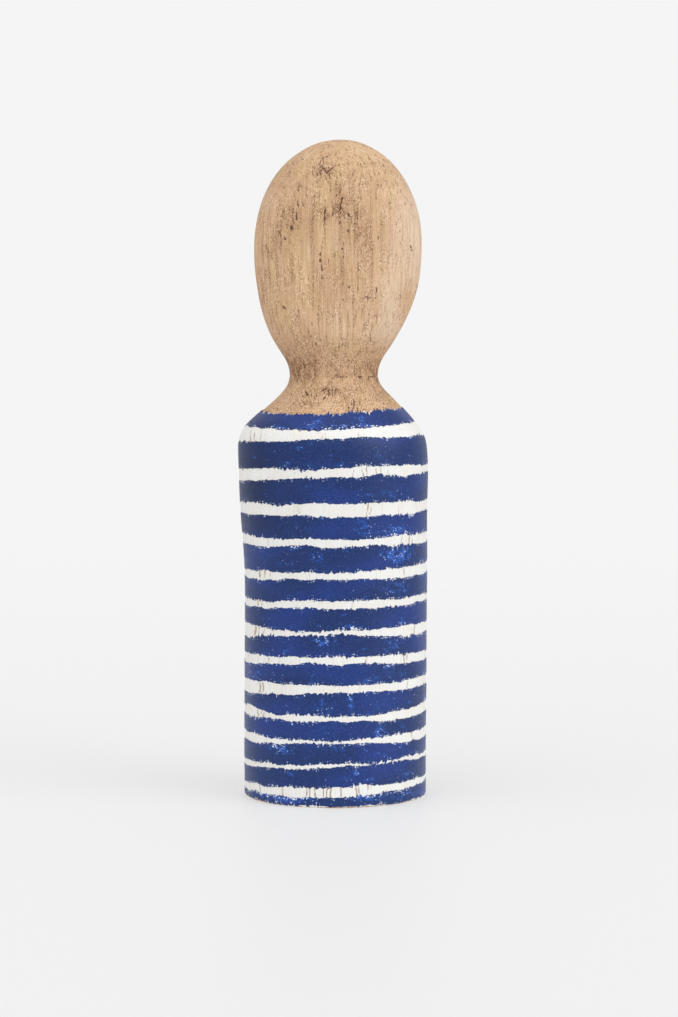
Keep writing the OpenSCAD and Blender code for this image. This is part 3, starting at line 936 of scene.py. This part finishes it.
def cracks(f):
    """Fine checks in the wood along the grain that show through the white coat: the ones listed
    for the front, and others in groups all round."""
    lines = f.ramp(f.noise((0.42, 0.42, 9), 31.0, 1.0), 0.62, 0.72)
    groups = f.ramp(f.noise((4.5, 4.5, 12), 33.0, 1.0), 0.60, 0.72)
    broken = f.ramp(f.noise((0.5, 0.5, 1.2), 35.0, 1.0), 0.38, 0.55)
    uneven = f.ramp(f.noise((0.5, 0.5, 1.8), 37.0), 0.34, 0.54, (0.4, 1.3))
    placed = f.times(f.value("pit"), uneven)
    return f.most(f.times(f.times(lines, groups), broken), placed)


def white_paint():
    """Chalky off-white paint: slightly stained, cracked along the grain, with pinholes."""
    f = Finish("white_paint")
    warm = f.ramp(f.noise((11, 11, 8), 2.0), 0.42, 0.68)
    pink = f.ramp(f.noise((6, 6, 3), 8.0), 0.55, 0.75, (0.0, 0.4))
    fibres = f.noise((0.6, 0.6, 10), 5.0)
    crack = cracks(f)
    grain = f.noise((0.45, 0.45, 0.9), 14.0, 1.0)
    holes = f.times(f.ramp(grain, 0.68, 0.76), f.ramp(f.noise((5, 5, 9), 6.0), 0.4, 0.62))

    colour = f.mix(pink, f.mix(warm, WHITE, WARM_WHITE), PINK_WHITE)
    colour = f.mix(f.ramp(fibres, 0.50, 0.75, (0.0, 0.4)), colour, GREY_FIBRE)
    colour = f.mix(f.ramp(crack, 0.0, 0.9, (0.0, 0.85)), colour, CRACK)
    colour = f.mix(f.times(holes, 0.5), colour, PINHOLE)
    rough = f.ramp(fibres, 0.3, 0.7, (0.52, 0.68))
    relief = f.minus(f.times(fibres, 0.5), f.plus(crack, holes))
    return f.finish(colour, rough, relief, 0.10, specular=0.35)


def bare_specks(f, thin_and_painted_light):
    """Pits that the blue missed, and the thin blue round them, as two values of 0 to 1. They are
    in groups, near the edges of a band, where the blue is thin and under its painted highlight."""
    edge = f.value("edge")
    rim = f.times(f.ramp(edge, 0.65, 0.12), f.ramp(edge, 0.02, 0.08))
    groups = f.ramp(f.noise((5, 5, 4), 21.0, 1.0), 0.36, 0.60, (0.12, 1.1))
    near = f.plus(f.times(rim, groups), f.math("MINIMUM", thin_and_painted_light, 0.8))
    grain = f.noise((0.42, 0.42, 0.6), 9.0, 0.0)
    open_grain = f.minus(grain, f.minus(0.85, f.times(near, 0.16)))
    holes = f.minus(f.dots((0.95, 0.95, 1.0), 6.0), f.times(near, 0.30))
    specks = f.most(f.ramp(open_grain, -0.01, 0.02), f.ramp(holes, 0.04, 0.01))
    halo = f.most(f.ramp(open_grain, -0.06, 0.0), f.ramp(holes, 0.12, 0.04))
    return specks, halo


def blue_paint():
    """Dark blue paint, brushed on round the figure: brighter where it is thin and where a
    highlight is painted on the right of the upper bands, darker where shade is painted down the
    left side of the upper body, and missing from small pits in the wood."""
    f = Finish("blue_paint")
    placed = f.value("thin_and_painted_light")
    patchy = f.ramp(f.noise((2.4, 2.4, 1.8), 12.0, 3.0), 0.38, 0.58, (0.15, 1.4))
    elsewhere = f.ramp(f.noise((8, 8, 4), 25.0), 0.56, 0.72, (0.0, 0.7))
    thin_and_painted_light = f.most(f.times(placed, patchy), elsewhere)
    cells = f.ramp(f.noise((0.9, 0.9, 0.7), 28.0), 0.40, 0.52)
    streaks = f.noise((11, 11, 0.6), 4.0, 3.0)
    crumbs = f.noise((0.45, 0.45, 0.55), 15.0, 0.0)
    specks, halo = bare_specks(f, thin_and_painted_light)

    depth = f.ramp(f.noise((26, 26, 15), 23.0, 0.0), 0.38, 0.62)
    colour = f.mix(depth, DEEP_BLUE, BLUE)
    colour = f.mix(f.ramp(streaks, 0.45, 0.75, (0.0, 0.25)), colour, STREAK_BLUE)
    colour = f.mix(f.ramp(crumbs, 0.45, 0.28, (0.0, 0.4)), colour, DARK_BLUE_CRUMB)
    colour = f.mix(f.ramp(crumbs, 0.56, 0.74, (0.0, 0.5)), colour, PALE_BLUE_CRUMB)
    # painted shade: darker blue down the left side of the upper body
    colour = f.mix(f.ramp(placed, 0.0, -0.6), colour, SHADED_BLUE)
    # thin blue, and a painted highlight on the right of the upper bands
    colour = f.mix(f.times(f.ramp(thin_and_painted_light, 0.15, 1.1), cells), colour, BRIGHT_BLUE)
    colour = f.mix(f.times(halo, 0.55), colour, HALO_BLUE)
    colour = f.mix(specks, colour, BARE_WHITE)
    rough = f.ramp(streaks, 0.3, 0.7, (0.33, 0.44))
    fibres = f.noise((0.6, 0.6, 10), 5.0)
    relief = f.minus(f.plus(f.times(fibres, 0.35), f.times(crumbs, 0.35)), specks)
    return f.finish(colour, rough, relief, 0.08, specular=0.34)


# ---- the figure

def dress(piece, material, slot, *nodes):
    """Gives a piece its material, and sets it on the body in place of its CAD nodes."""
    piece.data.materials.append(material)
    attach(piece, BODY)
    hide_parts(*nodes)


def make_figure():
    wood, white, blue = bare_wood(), white_paint(), blue_paint()
    for piece, node in ((carve_head(), "head"), (carve_body(), "body")):
        sharpen(piece)
        dress(piece, wood, "bare_wood", node)
    dress(brush_coat(), white, "white_paint", "white_ground_coat")
    for number, node in enumerate(BANDS):
        dress(brush_band(number, node), blue, "blue_paint", node)
    NODES["neck_dowel"].data.materials[0] = dowel_wood()


# ---- studio

FLOOR_RADIUS, FLOOR_SIDES = 1.6, 96
FLOOR_FADE = (300, 1500)  # distances from the figure between which the floor fades away, mm
FLOOR_GREY = (0.42, 0.42, 0.42, 1)
FLOOR_GLOW = (1, 1, 0.995, 1)
GLOW_STRENGTH = 0.42     # keeps the floor nearly as bright as the backdrop
BACKGROUND = 0.91        # brightness of the backdrop
WORLD_LIGHT = 0.63       # and of the even light it gives
CAMERA = (0.0018, -1.2976, 0.2182)
CAMERA_PITCH = -3.8      # degrees
LENS, SENSOR = 100.46, 36  # mm


def make_floor():
    """A plain pale floor that fades into the background all round."""
    corners = np.arange(FLOOR_SIDES)
    turn = corners * math.tau / FLOOR_SIDES
    rim = np.stack([np.sin(turn), -np.cos(turn), np.zeros(FLOOR_SIDES)], axis=1)
    floor = mesh_piece("floor", rim * FLOOR_RADIUS + (0, 0, FOOT), [corners[None]], {})
    f = Finish("floor")
    f.set(Base_Color=FLOOR_GREY, Roughness=0.5, Specular_IOR_Level=0.25)
    f.set(Emission_Color=FLOOR_GLOW, Emission_Strength=GLOW_STRENGTH)
    away = f.node("ShaderNodeVectorMath", {0: f.place}, 1, operation="LENGTH")
    clear = f.node("ShaderNodeBsdfTransparent", {})
    blend = {0: f.ramp(away, *FLOOR_FADE), 1: f.shader.outputs[0], 2: clear}
    blend = f.node("ShaderNodeMixShader", blend)
    f.links.new(blend, f.nodes["Material Output"].inputs["Surface"])
    floor.data.materials.append(f.material)


def make_light(name, toward, spread_angle, strength, shine=True):
    """A broad, even, distant light. toward is the direction from the figure to it, and shine says
    whether it makes highlights."""
    lamp = bpy.data.lights.new(name, "SUN")
    lamp.angle = math.radians(spread_angle)
    lamp.energy = strength
    light = bpy.data.objects.new(name, lamp)
    x, y, z = toward
    light.rotation_euler = (math.atan2(math.hypot(x, y), z), 0, math.atan2(x, -y))
    light.visible_glossy = shine
    bpy.context.scene.collection.objects.link(light)


def make_world():
    """Even light from all round. The background itself is brighter than the light it gives."""
    world = bpy.data.worlds.new("studio")
    bpy.context.scene.world = world
    world.use_nodes = True
    nodes, links = world.node_tree.nodes, world.node_tree.links
    seen = nodes.new("ShaderNodeLightPath").outputs["Is Camera Ray"]
    strength = nodes.new("ShaderNodeMapRange")
    strength.inputs[3].default_value, strength.inputs[4].default_value = WORLD_LIGHT, BACKGROUND
    links.new(seen, strength.inputs[0])
    links.new(strength.outputs[0], nodes["Background"].inputs["Strength"])
    nodes["Background"].inputs["Color"].default_value = (1, 1, 1, 1)


def make_studio():
    make_floor()
    make_world()
    make_light("window", (0.78, -0.43, 0.46), 50, 1.0)
    make_light("fill", (-0.72, -0.41, 0.55), 80, 0.55, shine=False)
    make_light("front", (0, -0.5, 0.87), 80, 0.72)
    lens = bpy.data.cameras.new("camera")
    lens.lens = LENS
    lens.sensor_width = SENSOR
    camera = bpy.data.objects.new("camera", lens)
    camera.location = CAMERA
    camera.rotation_euler = (math.radians(90 + CAMERA_PITCH), 0, 0)
    bpy.context.scene.collection.objects.link(camera)
    bpy.context.scene.camera = camera
    bpy.context.scene.view_settings.view_transform = "Standard"


make_figure()
make_studio()
